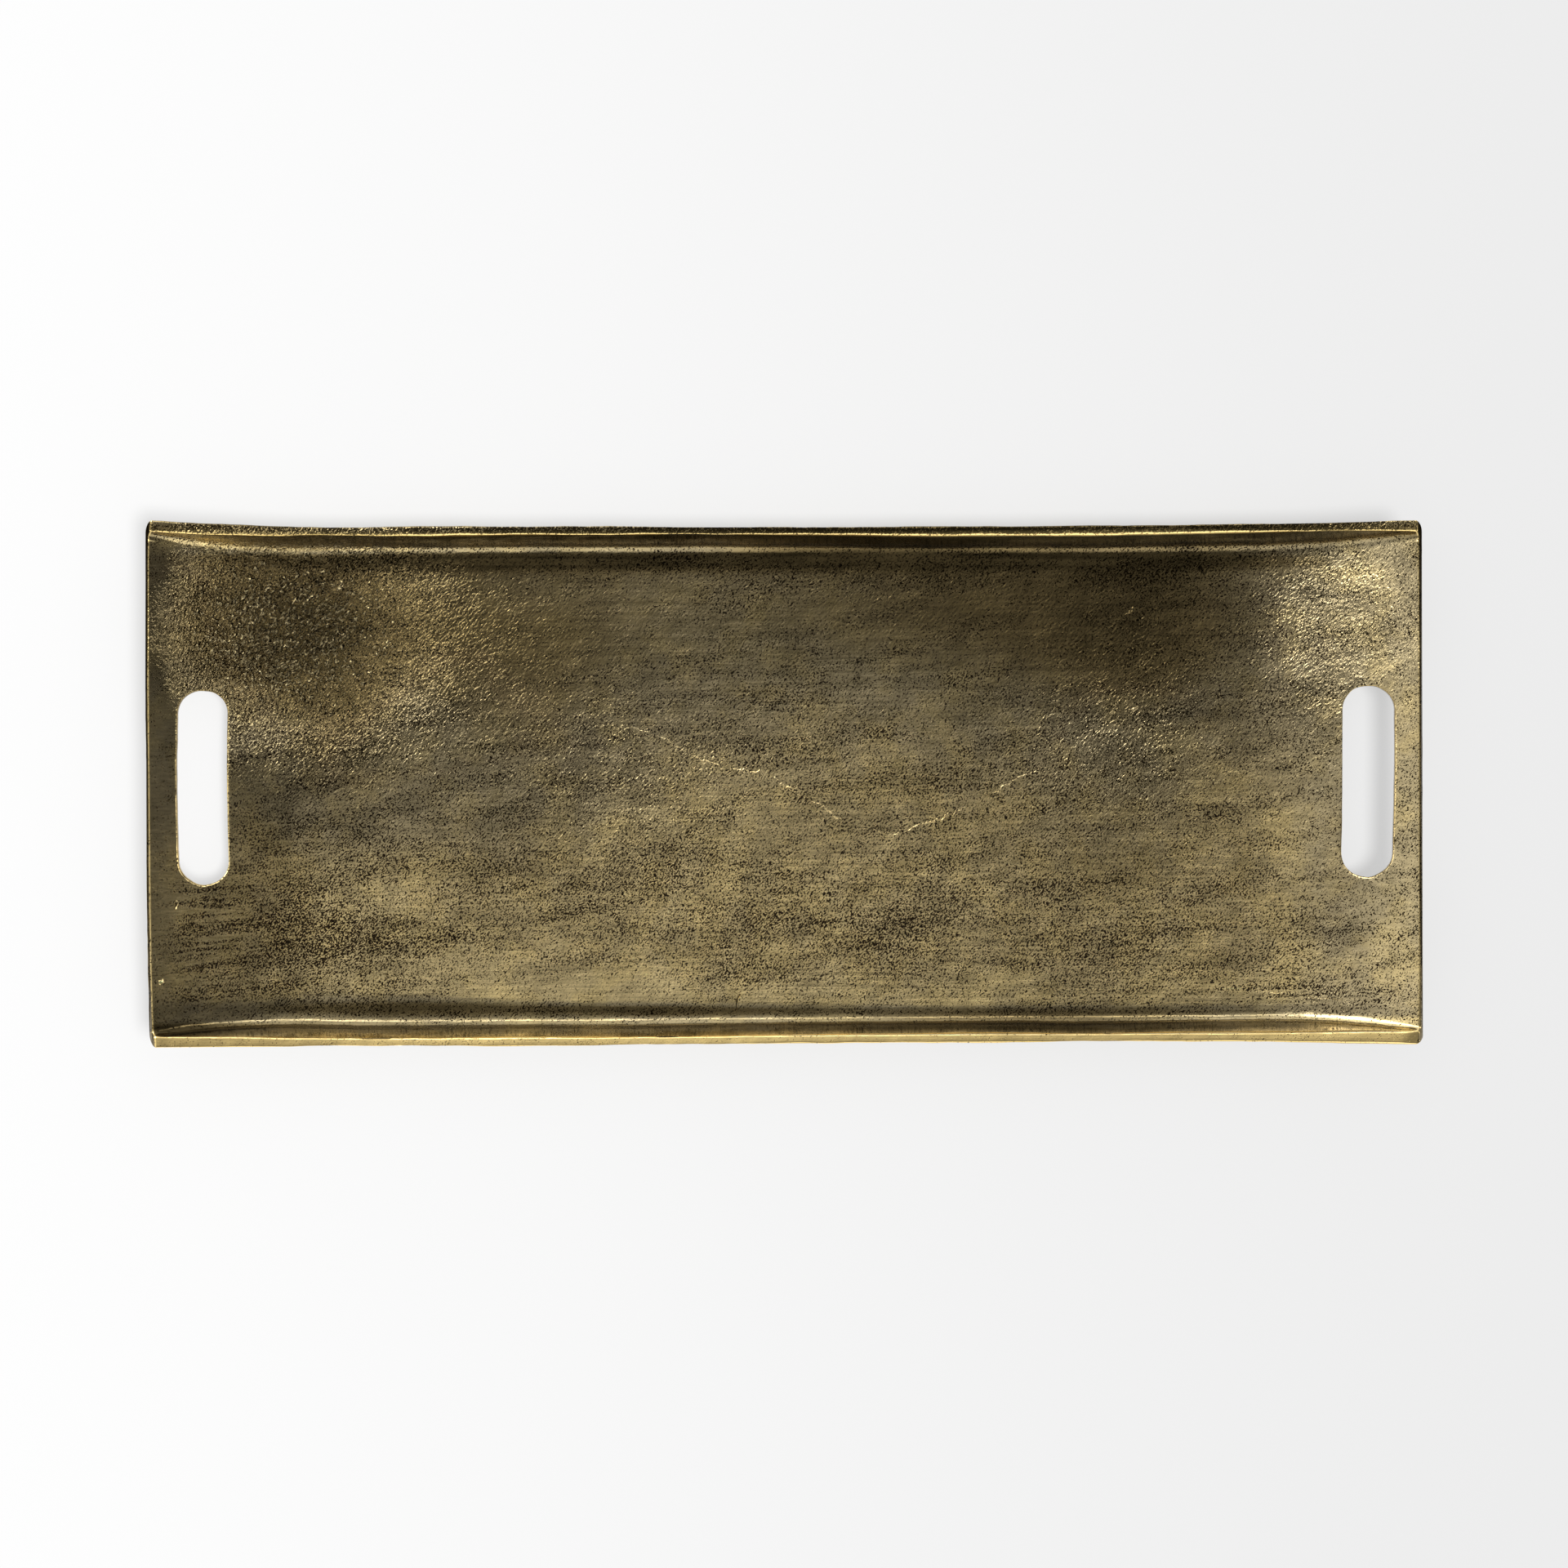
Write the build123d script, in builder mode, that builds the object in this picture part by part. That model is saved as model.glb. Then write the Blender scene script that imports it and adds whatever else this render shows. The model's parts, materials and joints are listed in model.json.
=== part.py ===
from build123d import *
from math import asin, cos, degrees, radians, sin, tan
import os

# A cast brass serving tray. Two long walls lean outward from a flat floor, the
# floor sweeps up at both ends until it nearly meets the rim, and a finger slot
# is cut straight down through each end. Four felt pads are stuck under it.
# Millimetres, +Z up, +X along the tray. The origin is under the middle of the
# tray, on the surface that it stands on.

# Casting
tray_length = 660.0        # over the two end edges
tray_width = 272.0         # over the rims, at the horns where they are widest
floor_thickness = 3.4      # floor and upswept ends
wall_thickness = 4.2       # long walls, measured level
wall_lean = 14.0           # degrees that the long walls lean outward
wall_height = 22.0         # rim above the inside floor, at mid-length
end_rise = 28.0            # inside floor at the end edge, above the flat floor
end_run = 88.0             # level distance over which the floor rises
horn_height = 2.8          # rim above the inside floor, at the end edge
rim_level_half = 190.0     # the rim is level this far each side of the middle
inside_radius = 6.0        # between the floor and the long walls, inside
outside_radius = 6.5       # the same corner underneath
edge_radius = 0.8          # worn rim, end and slot edges

# Finger slots, cut by hand so that the two differ a little: each centre from
# its end edge, and from the middle of the width
slot_length = 101.0
slot_width = 26.7
slots = [
    {"side": -1, "inset": 28.0, "offset": -1.4},
    {"side": 1, "inset": 26.5, "offset": 1.1},
]

# Felt pads, each a felt disc on a film of adhesive
felt_radius = 10.0
felt_thickness = 1.8
film_radius = 9.5
film_thickness = 0.2
pad_x = 205.0              # pad centres from the middle, along the tray
pad_y = 98.0               # and across it

# Heights
underside_z = felt_thickness + film_thickness
floor_z = underside_z + floor_thickness
rim_z = floor_z + wall_height
end_z = floor_z + end_rise
horn_z = end_z + horn_height
above_z = horn_z + 20.0    # clear of the casting, for cutting

# The upswept ends are arcs about one centre, inside and underneath, and the
# end faces are square to them, up to the tips of the horns
end_radius = (end_run**2 + end_rise**2) / (2 * end_rise)
end_slope = asin(end_run / end_radius)
outer_x = tray_length / 2
outer_z = end_z - floor_thickness * cos(end_slope)
inner_x = outer_x - floor_thickness * sin(end_slope)
horn_x = inner_x - horn_height * tan(end_slope)
flat_x = inner_x - end_run

# The hollow's arc runs on past the end face
past_slope = end_slope + radians(8)
past_x = flat_x + end_radius * sin(past_slope)
past_z = floor_z + end_radius * (1 - cos(past_slope))

# Half-widths of the outer and inner wall faces, at the heights that cut them
lean = tan(radians(wall_lean))
outer_top = tray_width / 2 + (above_z - horn_z) * lean
outer_bottom = tray_width / 2 - (horn_z - underside_z) * lean
inner_top = outer_top - wall_thickness
inner_bottom = tray_width / 2 - wall_thickness - (horn_z - floor_z) * lean


# The space above the floor and between the walls
with BuildPart() as hollow:
    with BuildSketch(Plane.XZ):
        with BuildLine():
            Line((0, floor_z), (flat_x, floor_z))
            TangentArc((flat_x, floor_z), (past_x, past_z), tangent=(1, 0))
            Polyline((past_x, past_z), (past_x, above_z), (0, above_z))
            mirror(about=Plane.YZ)
        make_face()
    extrude(amount=tray_width, both=True)
    with BuildSketch(Plane.YZ):
        with BuildLine():
            Polyline(
                (-inner_bottom, floor_z),
                (inner_bottom, floor_z),
                (inner_top, above_z),
                (-inner_top, above_z),
                close=True,
            )
        make_face()
    extrude(amount=tray_length, both=True, mode=Mode.INTERSECT)
    long_corners = hollow.edges().filter_by(Axis.X).group_by(Axis.Z)[0]
    long_corners += hollow.edges().filter_by(GeomType.ELLIPSE)
    fillet(long_corners, radius=inside_radius)

# The casting
with BuildPart() as tray_body:
    # From the front: flat underneath, swept up at the ends, the rim rising
    # with them to a horn at each corner
    with BuildSketch(Plane.XZ):
        with BuildLine():
            Line((0, underside_z), (flat_x, underside_z))
            TangentArc((flat_x, underside_z), (outer_x, outer_z), tangent=(1, 0))
            Line((outer_x, outer_z), (horn_x, horn_z))
            TangentArc((rim_level_half, rim_z), (horn_x, horn_z), tangent=(1, 0))
            Line((0, rim_z), (rim_level_half, rim_z))
            mirror(about=Plane.YZ)
        make_face()
    extrude(amount=tray_width, both=True)

    # From the end: walls that lean outward from a flat bottom
    with BuildSketch(Plane.YZ):
        with BuildLine():
            Polyline(
                (-outer_bottom, underside_z),
                (outer_bottom, underside_z),
                (outer_top, above_z),
                (-outer_top, above_z),
                close=True,
            )
        make_face()
    extrude(amount=tray_length, both=True, mode=Mode.INTERSECT)
    long_corners = tray_body.edges().filter_by(Axis.X).group_by(Axis.Z)[0]
    long_corners += tray_body.edges().filter_by(GeomType.ELLIPSE).filter_by(
        lambda edge: (edge @ 0.5).Z < rim_z - 5
    )
    fillet(long_corners, radius=outside_radius)
    add(hollow.part, mode=Mode.SUBTRACT)

    # Finger slots, straight down through the upswept ends
    with BuildSketch(Plane.XY.offset(floor_z)):
        for slot in slots:
            with Locations((slot["side"] * (outer_x - slot["inset"]), slot["offset"])):
                SlotOverall(slot_length, slot_width, rotation=90)
    extrude(amount=above_z, mode=Mode.SUBTRACT)
    slot_edges = tray_body.edges(Select.LAST).filter_by(Axis.Z, reverse=True)

    # Every edge that hands and cloths reach is worn round. The rim's level and
    # rising stretches meet smoothly, so the lines between them are left alone.
    worn_faces = tray_body.faces().filter_by(lambda face: face.center().Z > rim_z - 1)
    smooth_lines = tray_body.edges().filter_by(Axis.Y).filter_by_position(
        Axis.Z, rim_z - 0.1, rim_z + 0.1
    )
    fillet(worn_faces.edges() - smooth_lines + slot_edges, radius=edge_radius)

os.makedirs("parts", exist_ok=True)
tray_body.part.label = "tray_body"
export_step(tray_body.part, "parts/tray_body.step")

# The pads, one near each corner of the flat underside
for end, along in (("left", -pad_x), ("right", pad_x)):
    for side, across in (("front", -pad_y), ("rear", pad_y)):
        with BuildPart() as felt_pad:
            with BuildSketch(Plane.XY):
                with Locations((along, across)):
                    Circle(felt_radius)
            extrude(amount=felt_thickness)
        felt_pad.part.label = f"felt_pad_{side}_{end}"
        export_step(felt_pad.part, f"parts/{felt_pad.part.label}.step")

        with BuildPart() as adhesive_film:
            with BuildSketch(Plane.XY.offset(felt_thickness)):
                with Locations((along, across)):
                    Circle(film_radius)
            extrude(amount=film_thickness)
        adhesive_film.part.label = f"adhesive_film_{side}_{end}"
        export_step(adhesive_film.part, f"parts/{adhesive_film.part.label}.step")
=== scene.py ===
import bpy
import bmesh
import json
import numpy as np
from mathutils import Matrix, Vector
from mathutils.geometry import tessellate_polygon

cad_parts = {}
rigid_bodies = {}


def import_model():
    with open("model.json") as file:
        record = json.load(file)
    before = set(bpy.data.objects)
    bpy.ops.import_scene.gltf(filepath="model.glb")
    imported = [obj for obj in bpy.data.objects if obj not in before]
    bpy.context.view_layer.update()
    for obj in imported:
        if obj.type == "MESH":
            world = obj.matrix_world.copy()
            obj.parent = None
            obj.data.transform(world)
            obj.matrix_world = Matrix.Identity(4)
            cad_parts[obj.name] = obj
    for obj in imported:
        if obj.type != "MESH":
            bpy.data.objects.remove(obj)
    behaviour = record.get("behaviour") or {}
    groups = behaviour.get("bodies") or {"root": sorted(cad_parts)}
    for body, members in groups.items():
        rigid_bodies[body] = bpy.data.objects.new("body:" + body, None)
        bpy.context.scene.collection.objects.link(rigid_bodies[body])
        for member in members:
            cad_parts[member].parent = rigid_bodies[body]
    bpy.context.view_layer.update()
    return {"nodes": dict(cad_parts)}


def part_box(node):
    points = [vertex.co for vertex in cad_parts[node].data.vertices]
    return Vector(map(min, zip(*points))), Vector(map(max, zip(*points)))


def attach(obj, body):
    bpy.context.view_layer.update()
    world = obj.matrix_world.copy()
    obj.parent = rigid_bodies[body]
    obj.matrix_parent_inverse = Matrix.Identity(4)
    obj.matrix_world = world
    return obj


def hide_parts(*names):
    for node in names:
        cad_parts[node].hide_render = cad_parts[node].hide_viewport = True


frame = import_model()
mm = 0.001    # shapes are worked out in millimetres and stored in metres
print("frame loaded:", len(frame["nodes"]), "nodes")


def meshFrom(name, points, faces):
    # points in millimetres, faces as lists of corners; the object stays at the origin
    mesh = bpy.data.meshes.new(name)
    mesh.from_pydata((points * mm).tolist(), [], faces)
    mesh.update()
    mesh.polygons.foreach_set("use_smooth", np.ones(len(mesh.polygons), bool))
    piece = bpy.data.objects.new(name, mesh)
    bpy.context.scene.collection.objects.link(piece)
    return piece


def addAttribute(piece, name, values):
    layer = piece.data.attributes.new(name, "FLOAT", "POINT")
    layer.data.foreach_set("value", np.asarray(values, np.float32))


def ringFaces(rings, around):
    # quads between neighbouring rings of a grid whose corners are numbered ring
    # by ring; each ring's last corner joins its first
    ring, corner = np.meshgrid(np.arange(rings - 1), np.arange(around), indexing="ij")
    nextCorner = (corner + 1) % around
    here, after = ring * around, (ring + 1) * around
    return np.stack([here + corner, here + nextCorner, after + nextCorner, after + corner], -1)


def waves(points, shortest, longest, count, seed):
    # a smooth random relief: the sum of plane sine waves whose directions and
    # phases are drawn at random and whose lengths are spread evenly between the
    # two limits, divided so that its usual size is one
    draw = np.random.default_rng(seed)
    aim = draw.normal(size=(count, 3))
    aim /= np.linalg.norm(aim, axis=1, keepdims=True)
    length = shortest * (longest / shortest) ** draw.random(count)
    phase = draw.random(count) * 2 * np.pi
    total = np.zeros(len(points))
    for k in range(count):
        total += np.sin(points @ (aim[k] * 2 * np.pi / length[k]) + phase[k])
    return total / np.sqrt(count / 2)


def bump01(value, low, high):
    # smooth step from 0 at low to 1 at high
    share = np.clip((value - low) / (high - low), 0, 1)
    return share * share * (3 - 2 * share)


# sizes in millimetres; the lean is the tangent of the wall's angle
tray = {
    "length": 660.0,
    "width": 272.0,
    "floorThickness": 3.4,
    "rimWidth": 4.2,
    "hornWidening": 1.3,        # the rim is this much wider at the horns
    "hornWidens": (225, 325),   # between these distances from the middle
    "lean": np.tan(np.radians(14.0)),
    "wallHeight": 22.0,
    "endRise": 28.0,
    "endRun": 88.0,
    "hornHeight": 2.8,
    "levelRim": 190.0,
    "insideRadius": 6.0,
    "outsideRadius": 6.5,
    "edgeRadius": 0.8,
    "rimTilt": 0.45,            # the rim's outer edge stands this much over its inner edge
    "dish": 0.9,                # the floor rises this much towards the long walls
    "dishPower": 7.0,
    "stationStep": 2.2,         # grid spacing along the tray
    "floorColumns": 117,        # grid lines across the inside floor
    "insideLines": (8, 7),      # over the inside fillet, and up the wall above it
    "outsideLines": (7, 6),     # the same outside
    "insideSplit": 0.45,        # share of the way up where the wall's lines start
    "outsideSplit": 0.4,
    "edgeLines": 4,             # over each edge of the rim
    "slots": [
        {"side": -1, "inset": 27.7, "offset": -1.6, "length": 101.4, "width": 25.0, "skew": 0.0},
        {"side": 1, "inset": 26.5, "offset": 1.1, "length": 99.5, "width": 25.0, "skew": 0.012},
    ],
    "windowColumns": 28,        # half the window that a slot's rings fill, in grid lines
    "windowRun": (41.5, 87.0),  # and its reach along the floor, from where the sweep starts
    "floorRings": 6,            # rings over the floor to the slot's edge
    "underRings": 4,            # and over the underside back to the window
    # wear, from 0 to 1: over the rim's lines from inside to outside, round an end
    # edge, and round the upper and lower edge of a slot
    "rimWorn": (0.6, 1, 1, 0.8, 0.3, 0.1, 0.3, 0.7, 0.8, 0.6, 0.2),
    "endWorn": (0.0, 0.15, 0.45, 0.4),
    "slotWorn": (0.25, 0.3),
    "rearOuterKeeps": 0.1,      # the rear rim's outer edge is dull
    "frontInnerKeeps": 0.5,     # the front rim's inner edge is soft
    "frontTopWorn": 0.85,       # partly wear, partly painted light: its top is rubbed to bare metal and painted lighter than the rear rim
}

bodyLow, bodyHigh = (np.array(v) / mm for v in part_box("tray_body"))
undersideZ = bodyLow[2]
floorZ = undersideZ + tray["floorThickness"]
endRadius = (tray["endRun"] ** 2 + tray["endRise"] ** 2) / (2 * tray["endRise"])
endSlope = np.arcsin(tray["endRun"] / endRadius)
innerX = tray["length"] / 2 - tray["floorThickness"] * np.sin(endSlope)
flatX = innerX - tray["endRun"]
sweepLength = endRadius * endSlope
rimZ = floorZ + tray["wallHeight"]
hornZ = floorZ + tray["endRise"] + tray["hornHeight"]
hornX = innerX - tray["hornHeight"] * np.tan(endSlope)
rimRise = hornZ - rimZ
rimRadius = ((hornX - tray["levelRim"]) ** 2 + rimRise ** 2) / (2 * rimRise)


def rimHeight(x):
    # height of the rim above the table: level in the middle, then an arc up to the horn
    past = np.maximum(np.abs(x) - tray["levelRim"], 0)
    return rimZ + rimRadius - np.sqrt(rimRadius ** 2 - past ** 2)


def stand(s, n):
    # the point at distance s along the inside floor's curve and n above it, in
    # side view: the floor is straight as far as the sweep and then an arc
    turn = np.maximum(np.abs(s) - flatX, 0) / endRadius
    x = np.sign(s) * (np.minimum(np.abs(s), flatX) + (endRadius - n) * np.sin(turn))
    z = floorZ + endRadius - (endRadius - n) * np.cos(turn)
    return x, z


def rimAbove(s):
    # the rim's height n above the floor's curve where the section square to the
    # curve meets the rim line, found by repeated substitution
    turn = np.maximum(np.abs(s) - flatX, 0) / endRadius
    n = np.full(len(s), tray["wallHeight"])
    for _ in range(30):
        x, _z = stand(s, n)
        n = endRadius - (floorZ + endRadius - rimHeight(x)) / np.cos(turn)
    return n, turn


def softCorner(a, corner, b, count):
    # a parabolic arc from a to b whose ends point at the corner
    f = np.linspace(0, 1, count)[None, :, None]
    return (1 - f) ** 2 * a[:, None] + 2 * f * (1 - f) * corner[:, None] + f ** 2 * b[:, None]


def sideShares(split, lines):
    # shares of the way up a side: lines over the fillet up to the split, and above it
    fillet = np.linspace(0, split, lines[0], endpoint=False)[1:]
    return np.concatenate([fillet, np.linspace(split, 1, lines[1] + 1)])


def arcThenWall(start, radius, arcAngle, tilt, along):
    # points at distances along a line that leaves start level, turns up through an
    # arc, and goes on straight at the wall's tilt
    angle = np.minimum(along / radius, arcAngle[:, None])
    past = np.maximum(along - radius * arcAngle[:, None], 0)
    return np.stack([
        start[:, None] + radius * np.sin(angle) + past * np.sin(tilt)[:, None],
        radius - radius * np.cos(angle) + past * np.cos(tilt)[:, None],
    ], -1)


def halfSection(s):
    # the tray's section for y >= 0 at each station, as points (y, n): fillet and
    # wall inside, rim, wall and fillet outside. Also returns where the inside
    # floor and the underside end.
    n, turn = rimAbove(s)
    x, _z = stand(s, n)
    rimOutY = tray["width"] / 2 - (hornZ - rimHeight(x)) * tray["lean"]
    widening = tray["hornWidening"] * bump01(np.abs(x), *tray["hornWidens"])
    rimInY = rimOutY - tray["rimWidth"] - widening
    lean = tray["lean"] * np.cos(turn)
    tilt = np.arctan(lean)
    edge = tray["edgeRadius"]

    # inside: near the ends the rim is so low that it cuts the fillet's arc off
    radius = tray["insideRadius"]
    floorEnd = rimInY - n * lean - radius * np.tan((np.pi / 2 - tilt) / 2)
    arcTop = radius - radius * np.sin(tilt)
    arcAngle = np.where(n > arcTop, np.pi / 2 - tilt, np.arccos(np.clip(1 - n / radius, -1, 1)))
    wallLength = np.maximum(n - arcTop, 0) / np.cos(tilt)
    total = radius * arcAngle + wallLength - edge
    along = total[:, None] * sideShares(tray["insideSplit"], tray["insideLines"])[None]
    inside = arcThenWall(floorEnd, radius, arcAngle, tilt, along)
    innerCorner = np.stack([
        floorEnd + radius * np.sin(arcAngle) + wallLength * np.sin(tilt),
        radius - radius * np.cos(arcAngle) + wallLength * np.cos(tilt),
    ], -1)

    # outside: the same from the underside up, with at least a sliver of wall
    radius = tray["outsideRadius"]
    deep = tray["floorThickness"]
    outerCorner = np.stack([rimOutY, n], -1)
    underEnd = rimOutY - (n + deep) * lean - radius * np.tan((np.pi / 2 - tilt) / 2)
    arcAngle = np.pi / 2 - tilt
    arcTop = radius - radius * np.sin(tilt)
    wallLength = np.maximum(n + deep - arcTop, 0.4) / np.cos(tilt)
    total = radius * arcAngle + wallLength - edge
    along = total[:, None] * sideShares(tray["outsideSplit"], tray["outsideLines"])[None]
    outside = arcThenWall(underEnd, radius, arcAngle, tilt, along) - np.array([0, deep])

    # rim: two worn edges and the face between, which tilts a little inward
    innerCorner[:, 1] -= tray["rimTilt"]
    across = outerCorner - innerCorner
    across /= np.linalg.norm(across, axis=1, keepdims=True)
    inside[:, -1, 1] = np.minimum(inside[:, -1, 1], innerCorner[:, 1] - 0.3)
    count = tray["edgeLines"] + 1
    rimIn = softCorner(inside[:, -1], innerCorner, innerCorner + across * edge, count)[:, 1:]
    rimOut = softCorner(outerCorner - across * edge, outerCorner, outside[:, -1], count)[:, :-1]
    middle = (rimIn[:, -1:] + rimOut[:, :1]) / 2
    return np.concatenate([inside, rimIn, middle, rimOut, outside[:, ::-1]], 1), floorEnd, underEnd


# stations along the tray: even steps, then four more that round the end edge
reach = flatX + sweepLength
steps = int(np.ceil((reach - tray["edgeRadius"]) / tray["stationStep"]))
station = np.linspace(0, reach - tray["edgeRadius"], steps + 1)
station = np.concatenate([-station[:0:-1], station])
roundAngle = np.radians([25, 50, 72, 90])
extra = reach - tray["edgeRadius"] * (1 - np.sin(roundAngle))
shrink = tray["edgeRadius"] * 0.85 * (1 - np.cos(roundAngle))
station = np.concatenate([-extra[::-1], station, extra])
inset = np.concatenate([shrink[::-1], np.zeros(2 * steps + 1), shrink])
section, floorEnd, underEnd = halfSection(station)

# the closed loop at each station: floor from -y to +y, up and over one wall,
# back along the underside, and up and over the other wall
uFloor = np.linspace(-1, 1, tray["floorColumns"])
middleColumn = tray["floorColumns"] // 2
near = np.abs(np.arange(tray["floorColumns"]) - middleColumn) <= tray["windowColumns"] + 2
uUnder = uFloor[near | (np.arange(tray["floorColumns"]) % 2 == 0)]
floorY = uFloor[None] * floorEnd[:, None]
floorN = tray["dish"] * np.abs(uFloor[None]) ** tray["dishPower"] * np.ones_like(floorY)
underY = -uUnder[None] * underEnd[:, None]
underN = np.full_like(underY, -tray["floorThickness"])
# the dish fades out over the fillet, so that floor and fillet stay one surface
fade = np.zeros(section.shape[1])
filletLines = tray["insideLines"][0]
fade[:filletLines] = np.linspace(1, 0.12, filletLines)
section[:, :, 1] += tray["dish"] * fade[None]
mirrored = section[:, ::-1] * np.array([-1, 1])
loopY = np.concatenate([floorY, section[:, :, 0], underY, mirrored[:, :, 0]], 1)
loopN = np.concatenate([floorN, section[:, :, 1], underN, mirrored[:, :, 1]], 1)
nFloor, nSide, nUnder = floorY.shape[1], section.shape[1], underY.shape[1]
nLoop = loopY.shape[1]

# at the end edges each loop draws in along its own inward normal
loop = np.stack([loopY, loopN], -1)
tangent = np.roll(loop, -1, 1) - np.roll(loop, 1, 1)
tangent /= np.linalg.norm(tangent, axis=2, keepdims=True) + 1e-9
inward = np.stack([tangent[:, :, 1], -tangent[:, :, 0]], -1)
loop += inward * inset[:, None, None]

bodyX, bodyZ = stand(np.repeat(station[:, None], nLoop, 1).ravel(), loop[:, :, 1].ravel())
bodyPoints = np.stack([bodyX, loop[:, :, 0].ravel(), bodyZ], -1)
nStation = len(station)
quads = ringFaces(nStation, nLoop)
print("tray grid:", nStation, "stations of", nLoop)


def floorAt(x, under):
    # height of the inside floor, or of the underside, over a point of the sweep
    past = np.maximum(np.abs(x) - flatX, 0)
    deep = tray["floorThickness"] if under else 0.0
    return floorZ + endRadius - np.sqrt((endRadius + deep) ** 2 - past ** 2)


def slotOutline(slot, x, y):
    # the nearest point of a slot's outline to (x, y), and the way out of the slot
    # there: a stadium, two half circles joined by straight sides, slightly uneven
    cx = slot["side"] * (tray["length"] / 2 - slot["inset"])
    half = slot["width"] / 2
    straight = slot["length"] / 2 - half
    px, py = x - cx, y - slot["offset"]
    mid = np.clip(py, -straight, straight)
    outX, outY = px, py - mid
    size = np.hypot(outX, outY)
    outX, outY = outX / size, outY / size
    turn = np.arctan2(py, px * slot["length"] / slot["width"])
    uneven = 0.22 * np.sin(3 * turn + slot["side"]) + 0.16 * np.sin(5 * turn + 2 * slot["side"])
    x = cx + outX * (half + uneven) + slot["skew"] * (mid + outY * half)
    y = slot["offset"] + mid + outY * (half + uneven)
    return x, y, outX, outY


def windowEdge(rows, columns):
    # the points round a window of the grid, as numbers
    return np.concatenate([
        index[rows[0], columns], index[rows[1:], columns[-1]],
        index[rows[-1], columns[-2::-1]], index[rows[-2:0:-1], columns[0]],
    ])


def slotRings(slot, topEdge, underEdge):
    # rings from the window's edge inward over the floor, round the slot's upper
    # edge, down the cut, round its lower edge and back out along the underside.
    # Each has one point for every point of the window's edge, and comes with its wear.
    edge = tray["edgeRadius"]
    x, y, outX, outY = slotOutline(slot, topEdge[:, 0], topEdge[:, 1])
    upperWorn, lowerWorn = tray["slotWorn"]

    def overFloor(share, window, under):
        # part of the way from the window's edge to where the slot's edge starts
        ringX = window[:, 0] * (1 - share) + (x + outX * edge) * share
        ringY = window[:, 1] * (1 - share) + (y + outY * edge) * share
        return np.stack([ringX, ringY, floorAt(ringX, under)], -1)

    def roundEdge(angle, under):
        # on a quarter circle between the cut, at 90 degrees, and the floor, at 0
        gap = edge * (1 - np.sin(angle))
        drop = edge * (1 - np.cos(angle)) * (-1 if under else 1)
        ringX = x + outX * gap
        return np.stack([ringX, y + outY * gap, floorAt(ringX, under) - drop], -1)

    inward = np.linspace(0, 1, tray["floorRings"] + 1)[1:]
    rings = [(overFloor(share, topEdge, False), 0.0) for share in inward]
    rings += [(roundEdge(angle, False), upperWorn) for angle in np.radians([30, 60, 90])]
    topZ, underZ = floorAt(x, False) - edge, floorAt(x, True) + edge
    for share in (0.33, 0.67, 1.0):
        rings.append((np.stack([x, y, topZ * (1 - share) + underZ * share], -1), 0.0))
    rings += [(roundEdge(angle, True), lowerWorn) for angle in np.radians([60, 30, 0])]
    outward = np.linspace(1, 0, tray["underRings"] + 2)[1:-1]
    return rings + [(overFloor(share, underEdge, True), 0.0) for share in outward]


# each slot: its window is left out of the grid and filled with the slot's rings
index = np.arange(nStation * nLoop).reshape(nStation, nLoop)
wide = tray["windowColumns"]
topColumns = np.arange(middleColumn - wide, middleColumn + wide + 1)
underMiddle = nFloor + nSide + nUnder // 2
underColumns = np.arange(underMiddle + wide, underMiddle - wide - 1, -1)
keep = np.ones((nStation - 1, nLoop), bool)
faces = []
extraPoints = []
extraWorn = []
nextIndex = nStation * nLoop
for slot in tray["slots"]:
    past = station * slot["side"] - flatX
    rows = np.where((past > tray["windowRun"][0]) & (past < tray["windowRun"][1]))[0]
    keep[rows[0]:rows[-1], topColumns[0]:topColumns[-1]] = False
    keep[rows[0]:rows[-1], underColumns[-1]:underColumns[0]] = False
    topEdge, underEdge = windowEdge(rows, topColumns), windowEdge(rows, underColumns)
    numbers = [topEdge]
    for ring, wornRing in slotRings(slot, bodyPoints[topEdge], bodyPoints[underEdge]):
        numbers.append(nextIndex + np.arange(len(ring)))
        nextIndex += len(ring)
        extraPoints.append(ring)
        extraWorn.append(np.full(len(ring), wornRing))
    numbers.append(underEdge)
    for one, two in zip(numbers[:-1], numbers[1:]):
        faces.append(np.stack([one, np.roll(one, -1), np.roll(two, -1), two], -1))

quads = quads[keep]
bodyPoints = np.concatenate([bodyPoints] + extraPoints)

# wear: the rear side's lines run outward and the front side's run inward
rimStart = sum(tray["insideLines"])
rimMiddle = rimStart + tray["edgeLines"]
rimEnd = rimMiddle + tray["edgeLines"] + 1
sideWorn = np.zeros(nSide)
sideWorn[rimStart - 1:rimEnd + 1] = tray["rimWorn"]
bodyWorn = np.zeros((nStation, nLoop))
bodyWorn[:, nFloor:nFloor + nSide] = sideWorn
bodyWorn[:, nLoop - nSide:] = sideWorn[::-1]
endWorn = np.array(tray["endWorn"])
end = len(endWorn)
bodyWorn[:end] = np.maximum(bodyWorn[:end], endWorn[:, None])
bodyWorn[-end:] = np.maximum(bodyWorn[-end:], endWorn[::-1, None])
bodyWorn[end:-end, nFloor + rimMiddle + 1:nFloor + rimEnd] *= tray["rearOuterKeeps"]
frontIn, frontMiddle = nLoop - rimStart, nLoop - 1 - rimMiddle
bodyWorn[end:-end, frontMiddle + 1:frontIn] *= tray["frontInnerKeeps"]
bodyWorn[2:-2, frontMiddle - 2:frontMiddle + 3] = tray["frontTopWorn"]
bodyWorn[nStation // 2:-8, frontIn - 2:frontIn] = 0       # no wear inside it on the right, so its bright inner edge, partly a painted highlight, shows on the left
bodyWorn = np.concatenate([bodyWorn.ravel()] + extraWorn)

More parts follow.
